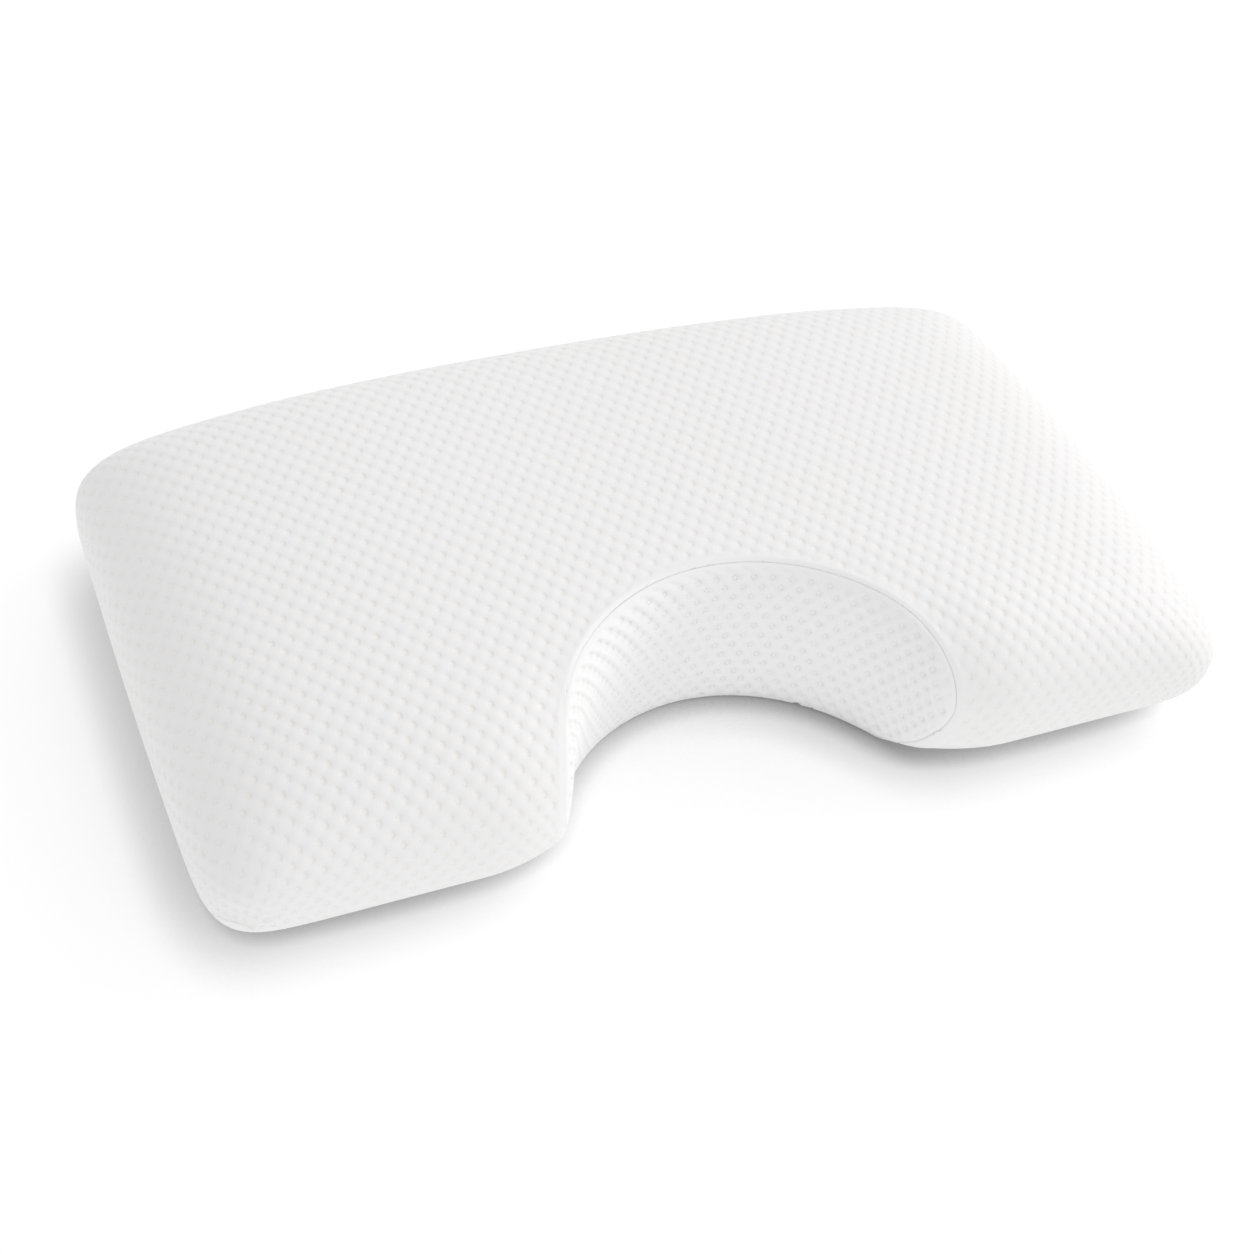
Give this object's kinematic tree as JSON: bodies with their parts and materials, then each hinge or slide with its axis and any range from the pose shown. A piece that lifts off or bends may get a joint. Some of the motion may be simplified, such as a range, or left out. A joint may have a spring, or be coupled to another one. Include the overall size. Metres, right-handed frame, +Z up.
{
  "type": "neck pillow",
  "caption": "Low crowned foam pillow in white dimpled knit, with a bull-nosed front edge and a half-round shoulder recess.",
  "frame": {"origin": "bottom centre of the whole pillow, on the surface it lies on", "axes": "+Z up, X along the pillow's length, -Y towards the edge with the shoulder recess"},
  "size_m": [0.6012, 0.34, 0.1078],
  "materials": {
    "cover_knit": "matte dimpled air-layer knit",
    "panel_knit": "matte dimpled air-layer knit"
  },
  "bodies": {
    "root": {"pillow_body": "cover_knit", "recess_panel": "panel_knit"}
  },
  "joints": []
}
